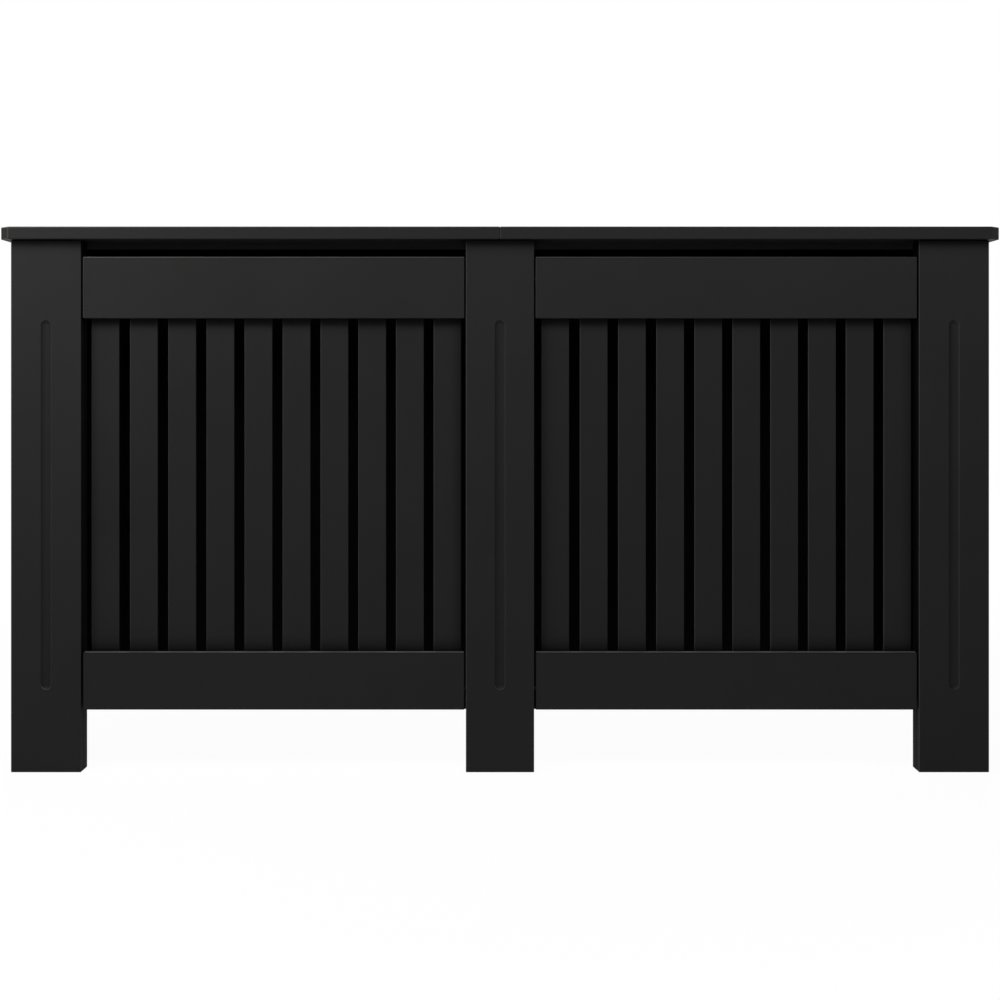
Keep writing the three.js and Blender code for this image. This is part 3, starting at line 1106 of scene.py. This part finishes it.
# %% [markdown]
# ## Screws
#
# Every bracket is held by short screws with a round head and a cross recess, and the same
# screws, one size down, pull the slats against the rails and the battens against the legs.
# A head could be a cylinder with a picture of a cross on it. Here it is turned from a
# profile, as the real one is forged from a blank, and the recess is a real tapered hole.
# One head is made, and then set down again wherever a screw sits.

# %% One screw head
HEAD_SIDES = 20
HEAD_PROFILE = [(1.0, 0.0), (1.0, 0.18), (0.97, 0.42), (0.86, 0.68), (0.66, 0.88), (0.52, 0.95)]
HEAD_HEIGHT_SHARE = 0.30
RECESS_ARM = 0.40
RECESS_HALF_WIDTH = 0.10
RECESS_TAPER = 0.55
RECESS_DEPTH_SHARE = 0.62


def cross_outline(arm, half_width):
    """The twelve corners of a plus sign, anticlockwise."""
    quarter = [(arm, -half_width), (arm, half_width), (half_width, half_width)]
    points = []
    for turn in range(4):
        for x, y in quarter:
            for _ in range(turn):
                x, y = -y, x
            points.append((x, y))
    return points


def ring_of_vertices(bm, points, height):
    """Vertices for a closed outline at one height."""
    return [bm.verts.new((x, y, height)) for x, y in points]


def wall_between(bm, lower, upper):
    """Faces between two outlines with the same number of vertices."""
    count = len(lower)
    for i in range(count):
        j = (i + 1) % count
        bm.faces.new((lower[i], lower[j], upper[j], upper[i]))


def screw_head_mesh(radius):
    """A round head that sits on z = 0, with a cross recess in its top."""
    bm = bmesh.new()
    height = 2 * radius * HEAD_HEIGHT_SHARE
    rings = []
    for out, up in HEAD_PROFILE:
        turns = [2 * math.pi * i / HEAD_SIDES for i in range(HEAD_SIDES)]
        circle = [(radius * out * math.cos(t), radius * out * math.sin(t)) for t in turns]
        rings.append(ring_of_vertices(bm, circle, height * up))
    bm.faces.new(reversed(rings[0]))
    for lower, upper in zip(rings, rings[1:]):
        wall_between(bm, lower, upper)
    top = height * HEAD_PROFILE[-1][1]
    arm, half_width = radius * RECESS_ARM, radius * RECESS_HALF_WIDTH
    mouth = ring_of_vertices(bm, cross_outline(arm, half_width), top)
    tip_height = top - height * RECESS_DEPTH_SHARE
    tip_outline = cross_outline(arm * RECESS_TAPER, half_width * RECESS_TAPER)
    tip = ring_of_vertices(bm, tip_outline, tip_height)
    wall_between(bm, mouth, tip)
    bm.faces.new(tip)
    flat_top = edges_around(bm, rings[-1]) + edges_around(bm, mouth)
    bmesh.ops.triangle_fill(bm, edges=flat_top, use_beauty=True)
    bmesh.ops.recalc_face_normals(bm, faces=bm.faces)
    return mesh_from(bm, "screw_head")


BRACKET_HEAD_RADIUS = 4.0 * MM
BOARD_HEAD_RADIUS = 3.4 * MM
bracket_head = screw_head_mesh(BRACKET_HEAD_RADIUS)
board_head = screw_head_mesh(BOARD_HEAD_RADIUS)
print("faces of one head:", len(bracket_head.polygons))

# %% [markdown]
# Nobody lines up the slots of their screws, so each head gets its own turn about its axis.
# The turns come from a seeded generator and are the same each time.

# %% Function: a set of screws as one piece
screw_turns = random.Random(7)


def set_screws(name, head, seats):
    """One piece made of a head at each seat. A seat is a place and the direction out of it."""
    bm = bmesh.new()
    for place, outward in seats:
        first = len(bm.verts)
        bm.from_mesh(head)
        bm.verts.ensure_lookup_table()
        upright = Vector(outward).to_track_quat("Z", "Y").to_matrix().to_4x4()
        turn = Matrix.Rotation(screw_turns.uniform(0, math.pi / 2), 4, "Z")
        bmesh.ops.transform(
            bm, matrix=Matrix.Translation(place) @ upright @ turn, verts=bm.verts[first:]
        )
    piece = piece_from(bm, name)
    give_finish(piece, screw_zinc)
    shade_by_angle(piece)
    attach(piece, "root")
    return piece


# %% [markdown]
# A bracket's own box tells where its bend is: at the end of the box that its wings run away
# from. The screws sit at the drilled distances along each wing. The wall brackets' upright
# wings stay empty, because their screws go into the wall when the cover is put up.

# %% Screws in the brackets
STEEL_THICKNESS = 2 * MM
SMALL_BRACKET_HOLES = (13 * MM,)
LARGE_BRACKET_HOLES = (11 * MM, 23 * MM)
BOTH_WINGS, FIRST_WING = (0, 1), (0,)

TOWARDS_WALL = Vector((0, 1, 0))
TOWARDS_FRONT = Vector((0, -1, 0))
DOWN = Vector((0, 0, -1))


def bend_corner(node, wings):
    """The inside corner that a bracket is set into, at the middle of its width."""
    low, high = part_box(node)
    corner = (low + high) / 2
    for wing in wings:
        for axis in range(3):
            if wing[axis]:
                corner[axis] = low[axis] if wing[axis] > 0 else high[axis]
    return corner


def bracket_seats(node, wings, holes, screwed):
    """Seats of the screws in the wings of one bracket. screwed says which wings have them."""
    corner = bend_corner(node, wings)
    seats = []
    for index in screwed:
        along, outward = wings[index], wings[1 - index]
        for distance in holes:
            seats.append((corner + along * distance + outward * STEEL_THICKNESS, outward))
    return seats


bracket_screw_seats = {"rail": [], "corner": [], "top": [], "seam": [], "wall": []}
for name in solids:
    if "bracket" not in name:
        continue
    kind = name.split("_")[0]
    holes = SMALL_BRACKET_HOLES if kind == "rail" else LARGE_BRACKET_HOLES
    at_right = name.endswith("_right") if kind == "rail" else "_right_" in name
    inwards = Vector((-1 if at_right else 1, 0, 0))
    wings = {
        "rail": (inwards, TOWARDS_WALL),
        "corner": (inwards, TOWARDS_WALL),
        "top": (inwards, DOWN),
        "seam": (TOWARDS_WALL, DOWN),
        "wall": (TOWARDS_FRONT, DOWN),
    }[kind]
    screwed = FIRST_WING if kind == "wall" else BOTH_WINGS
    bracket_screw_seats[kind] += bracket_seats(name, wings, holes, screwed)

for kind, seats in bracket_screw_seats.items():
    set_screws(f"{kind}_bracket_screws", bracket_head, seats)
print("bracket screws:", {kind: len(seats) for kind, seats in bracket_screw_seats.items()})

# %% [markdown]
# The slats are screwed to the rails from behind, two screws at each end, so that a slat
# can't turn. The battens are screwed to the legs, and the cleat up into both halves of the
# top.

# %% Screws in slats, battens and cleat
SLAT_SCREW_FROM_END = 22 * MM
SLAT_SCREW_FROM_MIDDLE = 11 * MM
BATTEN_SCREW_HEIGHTS = (60 * MM, 270 * MM, 480 * MM, 750 * MM)
CLEAT_SCREW_FROM_MIDDLE = 24 * MM
CLEAT_SCREW_SPACING = 36 * MM


def slat_seats(side):
    """Two seats at each end of every slat of one bay, on the rear faces."""
    seats = []
    for name in solids:
        if not name.startswith(f"slat_{side}"):
            continue
        low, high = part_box(name)
        middle = (low.x + high.x) / 2
        for z in (low.z + SLAT_SCREW_FROM_END, high.z - SLAT_SCREW_FROM_END):
            for offset in (-SLAT_SCREW_FROM_MIDDLE, SLAT_SCREW_FROM_MIDDLE):
                seats.append((Vector((middle + offset, high.y, z)), TOWARDS_WALL))
    return seats


def batten_seats():
    """Four seats up the rear face of every batten."""
    seats = []
    for name in solids:
        if name.startswith("batten"):
            low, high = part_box(name)
            for z in BATTEN_SCREW_HEIGHTS:
                seats.append((Vector(((low.x + high.x) / 2, high.y, z)), TOWARDS_WALL))
    return seats


def cleat_seats():
    """Three seats on each side of the joint, on the cleat's underside."""
    low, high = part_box("seam_cleat")
    middle_y = (low.y + high.y) / 2
    seats = []
    for x in (-CLEAT_SCREW_FROM_MIDDLE, CLEAT_SCREW_FROM_MIDDLE):
        for step in (-1, 0, 1):
            seats.append((Vector((x, middle_y + step * CLEAT_SCREW_SPACING, low.z)), DOWN))
    return seats


board_screw_seats = {
    "slat_screws_left": slat_seats("left"),
    "slat_screws_right": slat_seats("right"),
    "batten_screws": batten_seats(),
    "cleat_screws": cleat_seats(),
}
for name, seats in board_screw_seats.items():
    set_screws(name, board_head, seats)
print("board screws:", {name: len(seats) for name, seats in board_screw_seats.items()})
